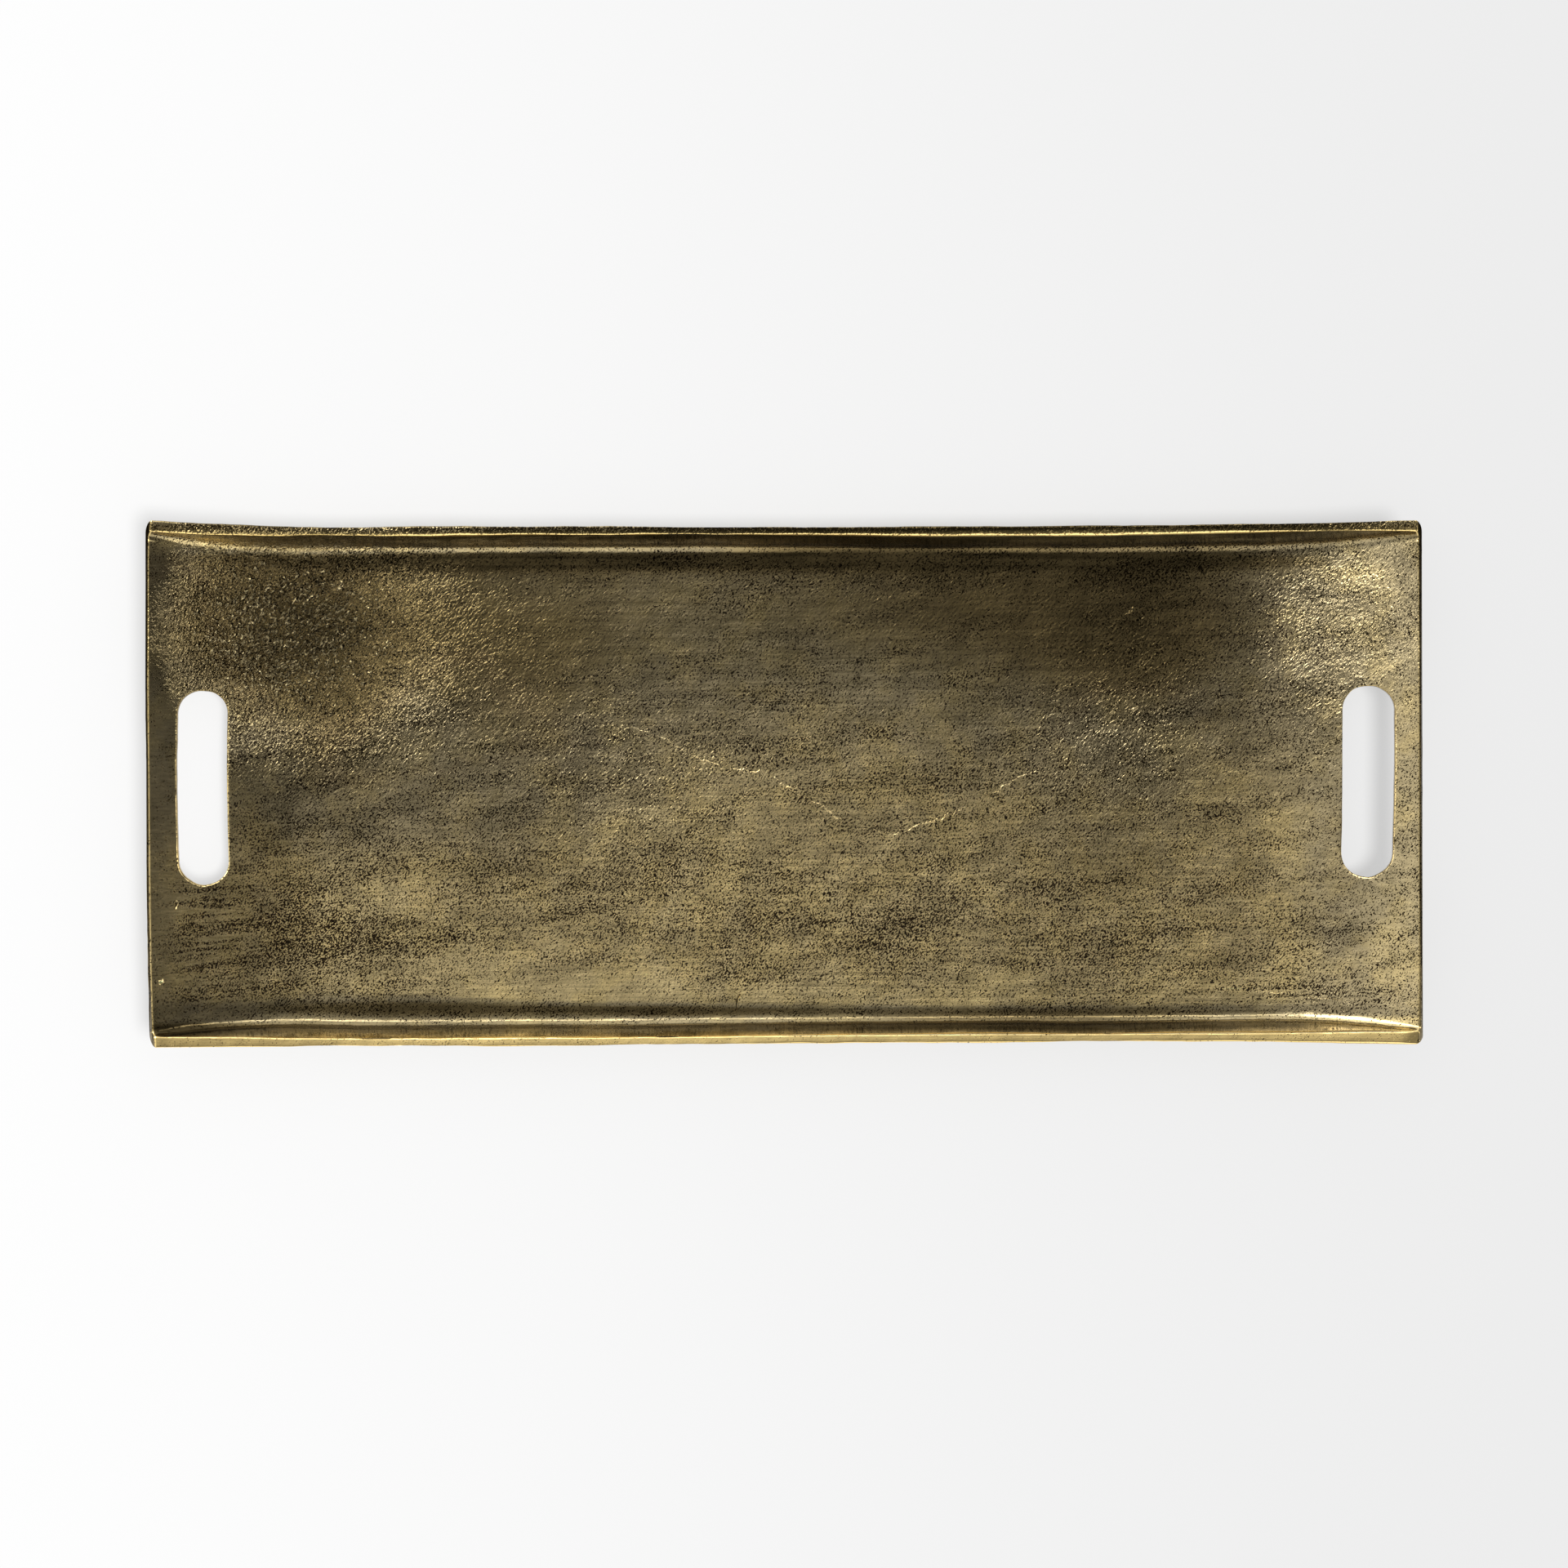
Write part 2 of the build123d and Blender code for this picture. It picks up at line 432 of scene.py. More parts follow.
# the flat end faces, filled with triangles
caps = []
for row in (0, nStation - 1):
    corners = [(float(y), float(n), 0.0) for y, n in loop[row]]
    caps += [[int(index[row, k]) for k in tri] for tri in tessellate_polygon([corners])]
bodyFaces = quads.reshape(-1, 4).tolist() + np.concatenate(faces).tolist() + caps

# hand-made outline: each long wall bows by a few points (x, move in y) with a
# curve through them, and the left end runs out of square
handMade = {
    "frontBow": [(-330, 0.2), (-265, -1.6), (-205, -2.1), (-80, -1.4),
                 (40, -0.6), (140, 0.5), (220, 0.6), (330, 2.8)],
    "rearBow": [(-330, 0.0), (-100, -0.3), (40, -0.7), (150, -0.4), (230, 0.5), (330, 0.0)],
    "leftSlant": 2.4,
    "rightSlant": 0.5,
    # size, shortest and longest wave, and the seed of its random draws
    "sway": (0.28, 70.0, 260.0, 11),      # the slow ripple in the sheet
    "lumps": (0.05, 9.0, 26.0, 12),       # the casting's lumps
    "grain": (0.022, 4.6, 8.0, 13),
    "rimWave": (0.16, 18.0, 90.0, 14),    # side to side wander of the rim's edges
}


def bow(points, x):
    # a curve of the fifth degree as near to the points as it can be
    half = tray["length"] / 2
    xs, shifts = np.array(points, float).T
    return np.polyval(np.polyfit(xs / half, shifts, 5), x / half)


def meshNormals(piece):
    normals = np.empty(len(piece.data.vertices) * 3)
    piece.data.vertices.foreach_get("normal", normals)
    return normals.reshape(-1, 3)


def closeShell(piece):
    # turns every face outward and returns how many edges aren't shared by two faces
    bm = bmesh.new()
    bm.from_mesh(piece.data)
    bmesh.ops.recalc_face_normals(bm, faces=bm.faces)
    loose = sum(len(edge.link_faces) != 2 for edge in bm.edges)
    bm.to_mesh(piece.data)
    bm.free()
    return loose


body = meshFrom("trayCasting", bodyPoints, bodyFaces)
openEdges = closeShell(body)
normals = meshNormals(body)
casting = bodyPoints.copy()
for name in ("sway", "lumps", "grain"):
    size, shortest, longest, seed = handMade[name]
    casting += normals * (size * waves(bodyPoints, shortest, longest, 60, seed))[:, None]
size, shortest, longest, seed = handMade["rimWave"]
casting[:, 1] += size * waves(bodyPoints * [1, 0.02, 0.02], shortest, longest, 24, seed) * bodyWorn
# shares of the way from the middle to each side, and from the rear edge forward
acrossShare = bodyPoints[:, 1] / (tray["width"] / 2)
alongShare = bodyPoints[:, 0] / (tray["length"] / 2)
front, rear = np.clip(-acrossShare, 0, 1) ** 1.5, np.clip(acrossShare, 0, 1) ** 1.5
farLeft, farRight = np.clip(-alongShare, 0, 1) ** 3, np.clip(alongShare, 0, 1) ** 3
forward = np.clip((1 - acrossShare) / 2, 0, 1)
casting[:, 1] += front * bow(handMade["frontBow"], bodyPoints[:, 0])
casting[:, 1] += rear * bow(handMade["rearBow"], bodyPoints[:, 0])
casting[:, 0] += farLeft * handMade["leftSlant"] * forward ** 2.2
casting[:, 0] -= farRight * handMade["rightSlant"] * (1 - forward)
casting = np.clip(casting, bodyLow, bodyHigh)      # never past the casting's own box
body.data.vertices.foreach_set("co", (casting * mm).ravel())
body.data.update()
print("tray body:", len(casting), "points, open edges", openEdges)


def newMaterial(name):
    material = bpy.data.materials.new(name)
    material.use_nodes = True
    tree = material.node_tree
    return material, tree, tree.nodes["Principled BSDF"]


def put(tree, kind, inputs=(), out=0, **settings):
    # adds a node, sets its properties, and feeds its inputs by name or number
    # with numbers, colours or another node's output
    node = tree.nodes.new("ShaderNode" + kind)
    for key, value in settings.items():
        setattr(node, key, value)
    for key, value in dict(inputs).items():
        if isinstance(value, bpy.types.NodeSocket):
            tree.links.new(value, node.inputs[key])
        else:
            node.inputs[key].default_value = value
    return node.outputs[out] if node.outputs else node      # an output node has none


def noise(tree, where, scale, detail=2.0, rough=0.5, stretch=None, distortion=0.0):
    if stretch:
        where = put(tree, "Mapping", {"Vector": where, "Scale": stretch})
    return put(tree, "TexNoise", {"Vector": where, "Scale": scale, "Detail": detail,
                                  "Roughness": rough, "Distortion": distortion})


def ramp(tree, value, low, high, toLow=0.0, toHigh=1.0):
    # value spread smoothly from low..high to toLow..toHigh
    return put(tree, "MapRange", {"Value": value, "From Min": low, "From Max": high,
                                  "To Min": toLow, "To Max": toHigh}, interpolation_type="SMOOTHSTEP")


def maths(tree, operation, a, b=0.0, third=0.0, clamp=False):
    return put(tree, "Math", {0: a, 1: b, 2: third}, operation=operation, use_clamp=clamp)


def blendColour(tree, share, a, b, mode="MIX"):
    return put(tree, "Mix", {0: share, 6: a, 7: b}, out=2, data_type="RGBA", blend_type=mode)


castBrass = {
    "bright": (0.66, 0.535, 0.29, 1),
    "golden": (0.45, 0.35, 0.162, 1),
    "base": (0.34, 0.276, 0.156, 1),
    "pit": (0.012, 0.008, 0.004, 1),
    "dusky": (0.30, 0.222, 0.098, 1),
    "worn": (0.90, 0.67, 0.27, 1),
    "grainScale": 760.0,
    "lumpScale": 480.0,
    "pitScale": 1230.0,
    "bumpHeight": 0.002,
    "roughness": (0.13, 0.23),
    "cloudScale": 60,
    "patchScale": 150,
    "tintScale": 45,
    # cells of noise per metre along x, y and z
    "flowStretch": (17, 85, 60),
    "brushStretch": (22, 640, 300),
    "filedStretch": (12, 430, 60),
    "scratchStretch": (45, 1300, 300),
    "wander": (170.0, 0.008),   # scale and reach of the wander in the marks' outlines
    "markReach": 6.0,           # half height of a mark, in millimetres
    # small marks: middle x, y and z and half length and width in millimetres, turn in
    # degrees, how much lighter or darker, and how far it stands up or is cut in
    "marks": [
        (-325.2, -128.0, 34.0, 1.6, 0.8, 20, 2.5, 0.0),
        (-322.0, -101.4, 29.0, 2.0, 1.0, 30, 1.2, 0.1),
        (-315.0, -63.0, 22.5, 2.2, 1.0, 80, -0.9, -0.6),
        (-91.0, 49.0, 5.4, 2.0, 1.4, 10, 0.9, 0.0),
        (-107.0, 75.0, 5.4, 1.5, 1.1, 0, 0.8, 0.0),
        (-24.5, -113.0, 5.6, 5.0, 0.55, 78, -0.9, -0.7),
        # a nick painted bright white, a painted highlight
        (184.0, 39.5, 5.4, 2.4, 0.9, 60, 3.0, 0.02),
        (268.0, -111.2, 8.5, 20.0, 0.3, 1, -0.7, -0.05),
        (290.0, -112.6, 11.5, 12.0, 0.3, -2, -0.6, -0.05),
        (255.0, -108.5, 7.0, 12.0, 0.25, 0, -0.5, -0.03),
        (218.0, 112.0, 5.6, 4.0, 0.5, -32, -0.8, -0.15),
        (181.0, 90.0, 5.4, 3.0, 0.6, 40, 0.5, 0.1),
        (186.0, 89.0, 5.4, 3.0, 0.6, -45, -0.5, -0.1),
        # the crease across the floor, from left to right: a low ridge painted lighter along it, a painted
        # highlight
        (-77.0, 28.5, 5.4, 10.0, 0.6, -9, 0.35, 0.04),
        (-58.0, 21.0, 5.4, 11.0, 0.6, -35, 0.35, 0.04),
        (-40.0, 11.0, 5.4, 11.0, 0.6, -21, 0.35, 0.04),
        (-20.0, 6.5, 5.4, 10.0, 0.6, -3, 0.35, 0.04),
        (1.0, -1.0, 5.4, 13.0, 0.6, -31, 0.35, 0.04),
        (23.0, -14.5, 5.4, 14.0, 0.6, -33, 0.25, 0.04),
        (50.0, -25.0, 5.4, 13.0, 0.6, -12, 0.2, 0.03),
        (78.0, -19.0, 5.4, 22.0, 0.6, 21, 0.35, 0.04),
        (122.0, 2.0, 5.4, 25.0, 0.6, 28, 0.25, 0.03),
        (158.0, 24.0, 5.4, 18.0, 0.6, 34, 0.15, 0.02),
    ],
}


def addMark(tree, where, mark, shade, height):
    # an ellipsoid round a mark's middle, inside which the shade is multiplied and
    # the height raised or lowered
    x, y, z, halfLength, halfWidth, turn, lighter, higher = mark
    inside = put(tree, "Mapping", {
        "Vector": where, "Location": (x * mm, y * mm, z * mm), "Rotation": (0, 0, np.radians(turn)),
        "Scale": (halfLength * mm, halfWidth * mm, castBrass["markReach"] * mm),
    }, vector_type="TEXTURE")
    share = ramp(tree, put(tree, "VectorMath", {0: inside}, out=1, operation="LENGTH"), 1.1, 0.5)
    factor = maths(tree, "ADD", 1.0, maths(tree, "MULTIPLY", share, lighter))
    shade = maths(tree, "MULTIPLY", shade, factor)
    if higher:
        height = maths(tree, "ADD", height, maths(tree, "MULTIPLY", share, higher))
    return shade, height


def makeBrass():
    brass = castBrass
    material, tree, shader = newMaterial("antiquedCastBrass")
    place = put(tree, "TexCoord", out=3)
    # the tone attribute holds the patina's light and dark together with painted light and shade
    tone, relief, pitting, grooved, wornEdge = [
        put(tree, "Attribute", out=2, attribute_name=name)
        for name in ("tone", "relief", "pitting", "grooved", "worn")
    ]
    # coordinates turned so that no noise cell lies flat in the floor, and so that
    # stretched grain runs up to the right
    oblique = put(tree, "Mapping", {"Vector": place, "Rotation": (0.7, 0.45, 0.35)})
    slanted = put(tree, "Mapping", {"Vector": place, "Rotation": (0, 0.35, np.radians(-45))})
    sloped = put(tree, "Mapping", {"Vector": place, "Rotation": (0.4, 0, -0.12)})
    filed = put(tree, "Mapping", {"Vector": place, "Rotation": (0, 0, -0.09)})
    grain = noise(tree, slanted, brass["grainScale"], 2, 0.55, stretch=(0.55, 1.0, 1.0), distortion=0.3)
    speck = noise(tree, slanted, brass["pitScale"], 2, 0.6, stretch=(0.75, 1.15, 1.0), distortion=0.4)
    lump = noise(tree, slanted, brass["lumpScale"], 1, 0.5, stretch=(0.7, 1.0, 1.0))
    cloud = noise(tree, oblique, brass["cloudScale"], 4, 0.6)
    patch = noise(tree, oblique, brass["patchScale"], 3, 0.6)
    tint = noise(tree, oblique, brass["tintScale"], 3, 0.6)
    flow = noise(tree, sloped, 1.0, 4, 0.65, stretch=brass["flowStretch"])
    brush = noise(tree, place, 1.0, 3, 0.65, stretch=brass["brushStretch"])
    rows = noise(tree, filed, 1.0, 2, 0.5, stretch=brass["filedStretch"])
    scratch = noise(tree, place, 1.0, 1, 0.5, stretch=brass["scratchStretch"])
    scale, reach = brass["wander"]
    wander = put(tree, "TexNoise", {"Vector": place, "Scale": scale, "Detail": 3.0}, out=1)
    wander = put(tree, "VectorMath", {0: wander, 1: (0.5, 0.5, 0.5)}, operation="SUBTRACT")
    bent = put(tree, "VectorMath", {0: wander, 1: (reach, reach, 0.0), 2: place}, operation="MULTIPLY_ADD")

    # the low spots of the speck noise are pits full of dark patina, in drifts that
    # lie along the tray and in filed rows at its ends
    drifts = maths(tree, "ADD", pitting, ramp(tree, flow, 0.32, 0.68, -0.55, 0.55))
    drifts = maths(tree, "ADD", drifts, ramp(tree, patch, 0.3, 0.7, -0.25, 0.25))
    filing = maths(tree, "MULTIPLY", grooved, ramp(tree, rows, 0.38, 0.62, -1.2, 1.2))
    drifts = maths(tree, "ADD", drifts, filing)
    pitShare = ramp(tree, maths(tree, "MULTIPLY_ADD", drifts, -0.07, third=speck), 0.43, 0.41)

    # where the relief is strong its high spots are rubbed bright and painted bright as glints, a painted
    # highlight, and the metal is golden in patches and where the tone is light, and brown where it is dark
    spread = maths(tree, "MULTIPLY", relief, ramp(tree, patch, 0.3, 0.7, 0.6, 1.4))
    glint = ramp(tree, maths(tree, "MULTIPLY_ADD", spread, 0.2, third=grain), 0.72, 0.80)
    gilt = maths(tree, "ADD", ramp(tree, tint, 0.42, 0.68, 0.0, 0.6),
                 ramp(tree, tone, 0.9, 1.5, 0.0, 0.6), clamp=True)
    hue = blendColour(tree, gilt, brass["base"], brass["golden"])
    hue = blendColour(tree, ramp(tree, tone, 0.8, 0.4), hue, brass["dusky"])
    colour = blendColour(tree, glint, hue, brass["bright"])
    colour = blendColour(tree, pitShare, colour, brass["pit"])

    # light and dark: the tone, which holds painted light and shade as well as patina,
    # broad clouds, the drifts, and brush marks and scratches, which show most where the relief is weak
    shade = maths(tree, "MULTIPLY", tone, ramp(tree, cloud, 0.25, 0.75, 0.86, 1.14))
    shade = maths(tree, "MULTIPLY", shade, ramp(tree, flow, 0.32, 0.68, 1.05, 0.92))
    brushed = ramp(tree, spread, 0.75, 0.15)
    stroke = maths(tree, "MULTIPLY_ADD", brush, 1.1, third=-0.55)
    stroke = maths(tree, "ADD", stroke, ramp(tree, scratch, 0.64, 0.72, 0.0, 0.15))
    stroke = maths(tree, "MULTIPLY", stroke, maths(tree, "MULTIPLY_ADD", brushed, 0.5, third=0.5))
    shade = maths(tree, "MULTIPLY", shade, maths(tree, "ADD", stroke, 1.0))

    # height: the grain and its lumps, less the pits, with the brush marks over all
    height = maths(tree, "MULTIPLY_ADD", lump, 0.25, third=ramp(tree, grain, 0.28, 0.66, 0.2, 0.8))
    height = maths(tree, "MULTIPLY", height, spread)
    height = maths(tree, "MULTIPLY_ADD", pitShare, -0.05, third=height)
    height = maths(tree, "MULTIPLY_ADD", brush, 0.03, third=height)
    for mark in brass["marks"]:
        shade, height = addMark(tree, bent, mark, shade, height)
    factor = put(tree, "CombineColor", {0: shade, 1: shade, 2: shade})
    colour = blendColour(tree, 1.0, colour, factor, "MULTIPLY")
    bare = maths(tree, "MULTIPLY", wornEdge, maths(tree, "MULTIPLY_ADD", pitShare, -0.8, third=1.0))
    tree.links.new(blendColour(tree, bare, colour, brass["worn"]), shader.inputs["Base Color"])

    rough = ramp(tree, relief, 0.0, 0.3, *brass["roughness"])
    rough = maths(tree, "MULTIPLY_ADD", pitShare, 0.2, third=rough)
    rough = maths(tree, "SUBTRACT", rough, maths(tree, "MULTIPLY", wornEdge, 0.05))
    tree.links.new(rough, shader.inputs["Roughness"])
    tree.links.new(ramp(tree, tone, 0.02, 0.25), shader.inputs["Metallic"])    # where the tone is very dark, as on the end faces painted black as shade, the surface isn't metal
    shader.inputs["Specular IOR Level"].default_value = 0.0
    bump = put(tree, "Bump", {"Height": height, "Strength": 1.0, "Distance": brass["bumpHeight"]})
    tree.links.new(bump, shader.inputs["Normal"])
    return material


# broad patches of the patina and of painted light and shade, (x, y, reach along x,
# reach along y, amount), in millimetres, with dx and dy the distances over the
# reaches: the tone is e to the sum of amount * exp(-dx^2 - dy^2), and the relief and
# the pitting are a middle value plus such a sum. The tone's patches are partly
# patina and partly painted light: painted highlights, painted shade and dark painted
# reflections
finishAndPaintedLight = {
    "tone": [
        # on the floor and the swept ends: patina with painted shade, darker towards the rear and left and
        # lighter towards the front, and a painted glow near the rear right end
        (-262, 82, 62, 48, -1.1), (-231, 50, 28, 55, -0.45), (-178, 82, 32, 36, -0.28),
        (185, 78, 62, 50, -0.85), (70, 75, 90, 40, -0.15), (98, 100, 60, 28, -0.25),
        (0, 95, 260, 40, -0.35), (98, 35, 28, 25, -0.15), (300, 114, 16, 10, 0.6),
        (300, 60, 34, 70, 0.05), (-278, -85, 40, 40, 0.3), (-115, -104, 50, 14, 0.45),
        (20, -80, 260, 60, 0.42), (239, -40, 40, 90, 0.35), (150, -85, 90, 30, 0.35),
        (170, -72, 60, 20, 0.1), (-250, -95, 18, 22, -0.1), (40, -104, 240, 11, 0.35),
        (-60, -20, 80, 40, 0.12), (-125, 62, 50, 45, -0.35), (60, -68, 110, 25, 0.15),
        (290, -70, 20, 60, -0.3), (70, 0, 130, 45, 0.22), (-140, 10, 50, 70, -0.3),
        (0, 112, 300, 7, -0.15), (-290, -60, 22, 60, 0.45), (-210, -60, 120, 60, 0.3),
        (230, -85, 90, 45, -0.1), (40, -95, 220, 24, 0.12), (-235, -8, 70, 28, -0.3),
        (290, 50, 20, 70, -0.3), (-322, 70, 12, 50, -0.2),
        # along the fillets, walls and rims: painted highlights on the fillets, dark painted reflections in
        # lines along the foot and face of the walls, and the rear side painted darker
        (-110, 127.5, 90, 4, -0.8), (120, 127.5, 150, 4, -0.95), (-150, 116.5, 100, 4, -1.2),
        (70, 116.5, 200, 4, -1.2), (50, 121, 60, 3, -1.2), (-130, 122, 130, 2.0, 0.6),
        (170, 122, 60, 2.2, 0.3), (200, 131, 140, 4, -1.3), (60, 131, 80, 4, -0.4),
        (-110, 131, 150, 4, 0.2), (-320, 131, 60, 4, -0.4), (0, -132.5, 330, 3.2, 0.25),
        (-310, -127.5, 45, 3, -1.8), (-245, 122.5, 50, 3, 0.8), (-300, 125.5, 25, 3, 0.9),
        (60, -117.8, 290, 2.2, -0.7), (110, -124, 110, 4, -0.35), (305, -124, 40, 5, 0.8),
        (140, -126.5, 180, 2.6, -1.4), (-190, -126.5, 160, 2.4, -0.6), (-319, 78, 12, 62, 0.2),
        (-190, -117, 110, 5, -1.2), (-60, -119, 60, 3, -0.9), (150, -119.5, 150, 2.4, -0.6),
        (110, -121.5, 110, 2.0, -0.5), (-190, -122.6, 130, 1.8, -0.25), (120, -127.2, 110, 1.8, -0.35),
    ],
    "toneRange": (0.02, 1.75),
    "middleRelief": 0.02,
    "relief": [
        (-262, 78, 60, 44, 1.15), (-150, 60, 60, 50, 0.04), (-90, 0, 60, 50, 0.04),
        (0, 20, 90, 40, 0.02), (180, 30, 60, 50, 0.08), (292, 85, 34, 46, 0.17),
        (60, 95, 200, 25, 0.03), (-324, 60, 10, 90, -0.3), (-283, 66, 10, 5, 0.7),
        (-230, 90, 7, 5, 0.7), (-264, 58, 9, 5, 0.5),
    ],
    "reliefRange": (0.01, 1.5),
    "middlePitting": 0.30,
    "pitting": [
        (-250, 75, 70, 50, -0.2), (-137, 85, 60, 40, -0.9), (0, 131, 330, 4, 1.0),
        (30, 90, 140, 40, -0.6), (180, 60, 60, 40, -0.2), (-250, -80, 45, 45, 0.8),
        (-160, -55, 60, 30, 0.4), (-120, -104, 60, 14, -0.9), (60, -70, 170, 30, 0.5),
        (160, -80, 70, 25, 0.1), (300, 0, 25, 140, -0.5), (-321, 0, 12, 140, -1.2),
        (0, 110, 300, 10, 0.4), (20, -112, 240, 8, -0.4),
    ],
    "grooved": [
        (-300, -80, 26, 42, 1.0), (250, -110, 70, 9, 0.7), (-315, 30, 12, 90, 0.5),
        (300, -80, 26, 30, 0.4),
    ],
    # what the sides keep of the floor's relief and pitting: over the fillet, from
    # its foot to its top, then on the wall, the rim and the outside
    "rearKeeps": (1, 0.8, 0.3, 1.6, 0.6),
    "frontKeeps": (0.5, 0, 0, 0.4, 0.6),
    "rimKeeps": (0.3, 0.3, 0.7, 1, 1, 1, 0.7, 0.3, 0.3),
    "unpitted": -1.2,           # pitting at which hardly a pit is left
    "endDark": 0.975,           # the end faces are painted nearly black, painted shade
    "endLighter": 0.5,          # less this towards the front
}


def patches(points, places):
    # the sum of amount * exp(-dx^2 - dy^2) over the places
    total = np.zeros(len(points))
    for x, y, reachX, reachY, amount in places:
        total += amount * np.exp(-((points[:, 0] - x) / reachX) ** 2 - ((points[:, 1] - y) / reachY) ** 2)
    return total


def sideKeeps(foot, top, wall, rim, outside):
    # the share that each line of a side keeps
    return np.concatenate([
        np.linspace(foot, top, tray["insideLines"][0]), np.full(tray["insideLines"][1], wall),
        np.array(finishAndPaintedLight["rimKeeps"]) * rim, np.full(sum(tray["outsideLines"]), outside),
    ])


def withRings(loopValues, ringValue):
    # values for the loops' points, and one value for all the points of the slots' rings
    return np.concatenate([loopValues.ravel(), np.full(len(casting) - loopValues.size, ringValue)])


body.data.materials.append(makeBrass())
topSide = normals[:, 2] > -0.1
# the end faces, which tilt downward, are painted nearly black as painted shade, less towards the front
endFace = np.zeros((nStation, nLoop))
endFace[[0, -1]] = 1
endFace[[1, -2]] = 0.7
darkening = finishAndPaintedLight["endDark"] - finishAndPaintedLight["endLighter"] * bump01(-casting[:, 1], 60, 125)
# the tone: the patches, patina together with painted light and shade, on the faces that look up
tone = np.exp(patches(casting, finishAndPaintedLight["tone"]) * topSide) * (1 - withRings(endFace, 0) * darkening)
keeps = np.ones((nStation, nLoop))
keeps[:, nFloor:nFloor + nSide] = sideKeeps(*finishAndPaintedLight["rearKeeps"])
keeps[:, nLoop - nSide:] = sideKeeps(*finishAndPaintedLight["frontKeeps"])[::-1]
keeps = withRings(keeps, 1)
relief = np.clip(finishAndPaintedLight["middleRelief"] + patches(casting, finishAndPaintedLight["relief"]), *finishAndPaintedLight["reliefRange"])
pitting = finishAndPaintedLight["middlePitting"] + patches(casting, finishAndPaintedLight["pitting"])
grooved = np.clip(patches(casting, finishAndPaintedLight["grooved"]), 0, 1)
addAttribute(body, "worn", np.clip(bodyWorn, 0, 1))
addAttribute(body, "tone", np.clip(tone, *finishAndPaintedLight["toneRange"]))
addAttribute(body, "relief", relief * keeps)
addAttribute(body, "pitting", (pitting - finishAndPaintedLight["unpitted"]) * keeps + finishAndPaintedLight["unpitted"])
addAttribute(body, "grooved", grooved * keeps)
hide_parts("tray_body")
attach(body, "root")
print("tray body finished")


feltPads = {
    "edgeRound": 0.35,          # of the die-cut edge
    "rings": 10,
    "spokes": 64,
    "fuzz": (0.05, 0.9, 2.4),   # size, shortest and longest wave of the fibres' relief
    "firstSeed": 30,
    "darkFibre": (0.018, 0.016, 0.014, 1),
    "paleFibre": (0.07, 0.062, 0.055, 1),
    "fluff": (0.035, 0.03, 0.027, 1),
    "darkFilm": (0.62, 0.58, 0.46, 1),
    "paleFilm": (0.78, 0.75, 0.64, 1),
}


def makeFelt():
    material, tree, shader = newMaterial("pressedFelt")
    place = put(tree, "TexCoord", out=3)
    fibre = noise(tree, place, 900, 4, 0.7, distortion=1.5)
    fluff = noise(tree, place, 260, 3, 0.6)
    tone = blendColour(tree, ramp(tree, fibre, 0.3, 0.7), feltPads["darkFibre"], feltPads["paleFibre"])
    tone = blendColour(tree, ramp(tree, fluff, 0.35, 0.75, 0.0, 0.5), tone, feltPads["fluff"])
    tree.links.new(tone, shader.inputs["Base Color"])
    tree.links.new(ramp(tree, fibre, 0.2, 0.8, 0.85, 1.0), shader.inputs["Roughness"])
    shader.inputs["Sheen Weight"].default_value = 0.4
    bump = put(tree, "Bump", {"Height": fibre, "Strength": 0.9, "Distance": 0.00015})
    tree.links.new(bump, shader.inputs["Normal"])
    return material


def makeFilm():
    material, tree, shader = newMaterial("acrylicAdhesive")
    place = put(tree, "TexCoord", out=3)
    bubbles = noise(tree, place, 380, 3, 0.6)
    tone = blendColour(tree, ramp(tree, bubbles, 0.35, 0.7), feltPads["darkFilm"], feltPads["paleFilm"])
    tree.links.new(tone, shader.inputs["Base Color"])
    tree.links.new(ramp(tree, bubbles, 0.3, 0.7, 0.35, 0.6), shader.inputs["Roughness"])
    bump = put(tree, "Bump", {"Height": bubbles, "Strength": 0.4, "Distance": 0.00005})
    tree.links.new(bump, shader.inputs["Normal"])
    return material


def makePad(node, seed):
    # a disc as a surface of revolution: out along the bottom, round the die-cut
    # edge and back in along the top, with a fibrous relief
    low, high = (np.array(v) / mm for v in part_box(node))
    middle = (low + high) / 2
    spokes, rings, edge = feltPads["spokes"], feltPads["rings"], feltPads["edgeRound"]
    flatRadius, thick = (high[0] - low[0]) / 2 - edge, high[2] - low[2]
    outward = np.linspace(0.04, 1, rings) * flatRadius
    turn = np.radians([30, 60, 90])
    radius = np.concatenate([outward, flatRadius + edge * np.sin(turn),
                             flatRadius + edge * np.sin([turn[1], turn[0], 0]), outward[-2::-1]])
    height = np.concatenate([np.zeros(rings), edge * (1 - np.cos(turn)),
                             thick - edge * (1 - np.cos([turn[1], turn[0], 0])), np.full(rings - 1, thick)])
    around = np.arange(spokes) * 2 * np.pi / spokes
    points = np.stack([
        middle[0] + radius[:, None] * np.cos(around),
        middle[1] + radius[:, None] * np.sin(around),
        low[2] + np.repeat(height[:, None], spokes, 1),
    ], -1).reshape(-1, 3)
    faces = ringFaces(len(radius), spokes).reshape(-1, 4).tolist()
    last = (len(radius) - 1) * spokes
    faces += [list(range(spokes)), list(range(last, last + spokes))]
    pad = meshFrom("pad" + node[8:].replace("_", " ").title().replace(" ", ""), points, faces)
    closeShell(pad)
    size, shortest, longest = feltPads["fuzz"]
    points += meshNormals(pad) * (size * waves(points, shortest, longest, 40, seed))[:, None]
    points = np.clip(points, low, high)
    pad.data.vertices.foreach_set("co", (points * mm).ravel())
    pad.data.update()
    return pad


felt, film = makeFelt(), makeFilm()
for number, node in enumerate(sorted(n for n in frame["nodes"] if n.startswith("felt_pad"))):
    pad = makePad(node, feltPads["firstSeed"] + number)
    pad.data.materials.append(felt)
    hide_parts(node)
    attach(pad, "root")
for node in frame["nodes"]:
    if node.startswith("adhesive_film"):
        frame["nodes"][node].data.materials.clear()
        frame["nodes"][node].data.materials.append(film)
print("pads finished")

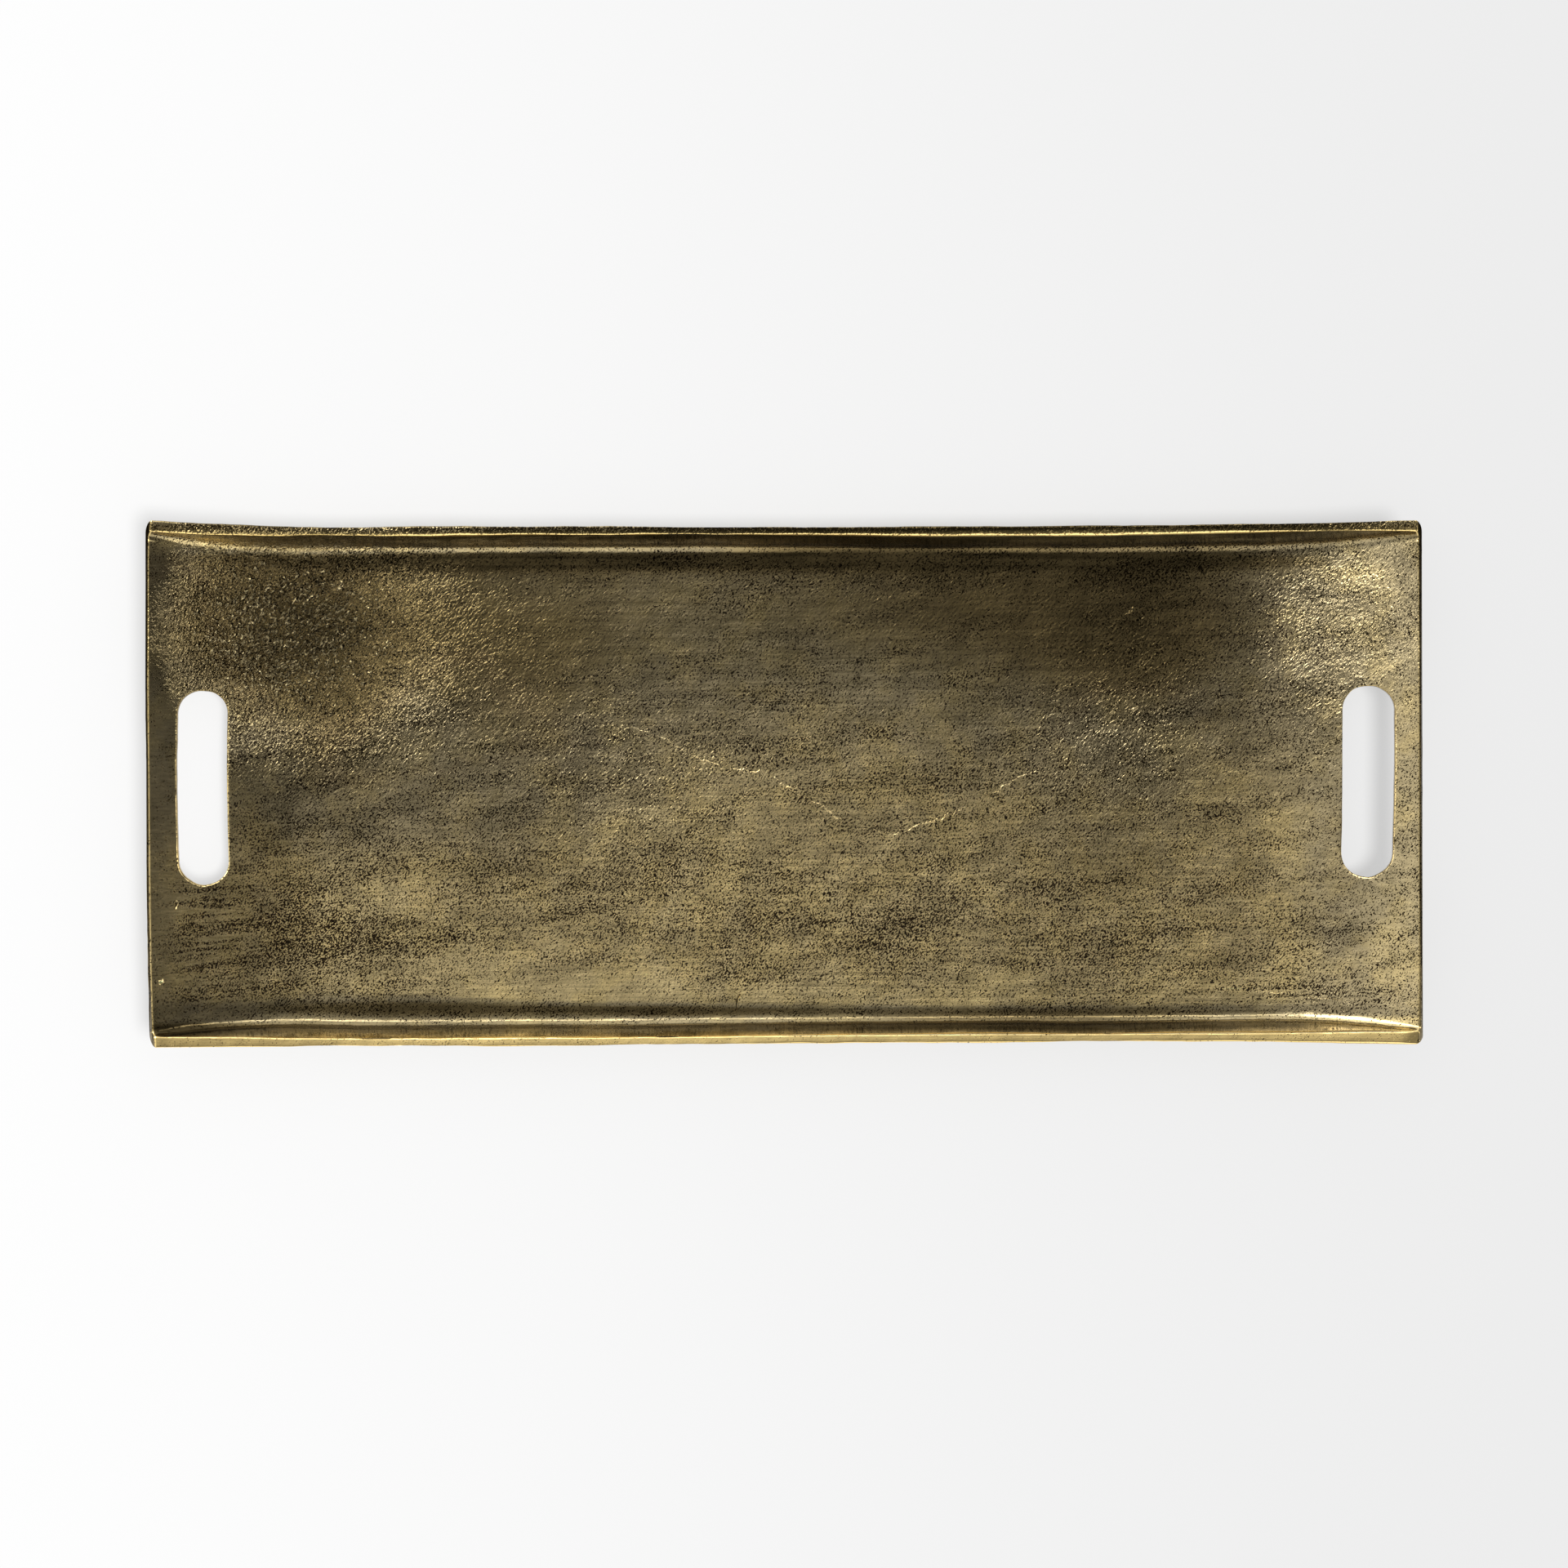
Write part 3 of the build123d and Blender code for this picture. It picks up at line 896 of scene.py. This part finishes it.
# metres, but for the paper's size and drop, which are in millimetres
studio = {
    "cameraHeight": 2.0,
    "frameWidth": 0.8087,        # of the view, at the height of the rim
    "rimHeight": 0.033,
    "paperHalf": 4000,
    "paperDrop": 0.1,            # the paper lies a hair below the pads
    "paperGlow": 0.59,
    "paperFade": (0.62, 0.83),   # reach to either side, and the tone at the right
    "sunStrength": 4.2,
    "sunAngle": 20.0,
    "sunWay": (0.30, -0.17, 1.0),
    # the room's light on everything but the metal's reflections, and then what the
    # metal reflects
    "room": 1.0,
    "ceiling": 0.24,
    "brightSide": 1.6,           # the rear and left
    "frontStrip": 1.7,           # low along the front
    "window": (-0.45, 0.52, 0.72),
    "windowLight": 3.2,
    "windowCore": 9.0,
    "tubeLight": 5.0,            # a long thin lamp behind
    "tubeSlope": 1.37,           # its height over its distance
}

scene = bpy.context.scene
scene.view_settings.view_transform = "Standard"


def makeStage():
    corners = np.array([(-1, -1), (1, -1), (1, 1), (-1, 1)]) * studio["paperHalf"]
    points = np.column_stack([corners, np.full(4, -studio["paperDrop"])])
    floor = meshFrom("studioFloor", points, [[0, 1, 2, 3]])
    material, tree, shader = newMaterial("paleFloor")
    split = tree.nodes.new("ShaderNodeSeparateXYZ")
    tree.links.new(put(tree, "TexCoord", out=3), split.inputs[0])
    # the paper is painted a little darker to the right, painted shade; most of its light
    # is its own glow, a painted light, so that the shadow on it stays pale
    reach, dark = studio["paperFade"]
    tone = ramp(tree, split.outputs[0], -reach, reach, 1.0, dark)
    shade = put(tree, "CombineColor", {0: tone, 1: tone, 2: tone})
    paper = blendColour(tree, 1.0, shade, (0.2, 0.2, 0.2, 1), "MULTIPLY")
    tree.links.new(paper, shader.inputs["Base Color"])
    tree.links.new(shade, shader.inputs["Emission Color"])
    shader.inputs["Emission Strength"].default_value = studio["paperGlow"]
    shader.inputs["Roughness"].default_value = 0.9
    shader.inputs["Specular IOR Level"].default_value = 0.0
    floor.data.materials.append(material)


def makeSun():
    data = bpy.data.lights.new("softKey", "SUN")
    data.energy = studio["sunStrength"]
    data.angle = np.radians(studio["sunAngle"])
    lamp = bpy.data.objects.new("softKey", data)
    lamp.rotation_euler = Vector(studio["sunWay"]).to_track_quat("Z", "Y").to_euler()
    lamp.visible_glossy = False
    scene.collection.objects.link(lamp)


def makeWorld():
    world = bpy.data.worlds.new("studioRoom")
    scene.world = world
    world.use_nodes = True
    tree = world.node_tree
    tree.nodes.clear()
    way = put(tree, "TexCoord", out=0)
    split = tree.nodes.new("ShaderNodeSeparateXYZ")
    tree.links.new(way, split.inputs[0])
    x, y, z = split.outputs

    # what the metal reflects: bright to the rear and left, a low strip of light
    # along the front, a window with a brighter core, and a long thin lamp behind
    rearLeft = maths(tree, "SUBTRACT", maths(tree, "MULTIPLY", y, 0.8), maths(tree, "MULTIPLY", x, 0.6))
    lights = [ramp(tree, rearLeft, -0.28, 0.75, 0.0, studio["brightSide"])]
    lights.append(ramp(tree, maths(tree, "MULTIPLY", y, -1.0), 0.35, 0.75, 0.0, studio["frontStrip"]))
    aim = np.array(studio["window"]) / np.linalg.norm(studio["window"])
    facing = put(tree, "VectorMath", {0: way, 1: aim.tolist()}, out=1, operation="DOT_PRODUCT")
    lights.append(ramp(tree, facing, 0.90, 0.97, 0.0, studio["windowLight"]))
    lights.append(ramp(tree, facing, 0.975, 0.992, 0.0, studio["windowCore"]))
    tube = maths(tree, "SUBTRACT", y, maths(tree, "DIVIDE", z, studio["tubeSlope"]))
    lights.append(ramp(tree, maths(tree, "ABSOLUTE", tube), 0.11, 0.03, 0.0, studio["tubeLight"]))
    seen = studio["ceiling"]
    for light in lights:
        seen = maths(tree, "ADD", light, seen)

    glossy = put(tree, "LightPath", out="Is Glossy Ray")
    other = maths(tree, "MULTIPLY", maths(tree, "SUBTRACT", 1.0, glossy), studio["room"])
    total = maths(tree, "ADD", maths(tree, "MULTIPLY", glossy, seen), other)
    back = put(tree, "Background", {"Strength": total})
    put(tree, "OutputWorld", {0: back})


def makeCamera():
    data = bpy.data.cameras.new("overhead")
    data.sensor_width = 36
    data.lens = 36 * (studio["cameraHeight"] - studio["rimHeight"]) / studio["frameWidth"]
    data.clip_end = 50
    camera = bpy.data.objects.new("overhead", data)
    camera.location = (0, 0, studio["cameraHeight"])
    scene.collection.objects.link(camera)
    scene.camera = camera


makeStage()
makeWorld()
makeSun()
makeCamera()
print("floor, light and camera finished")
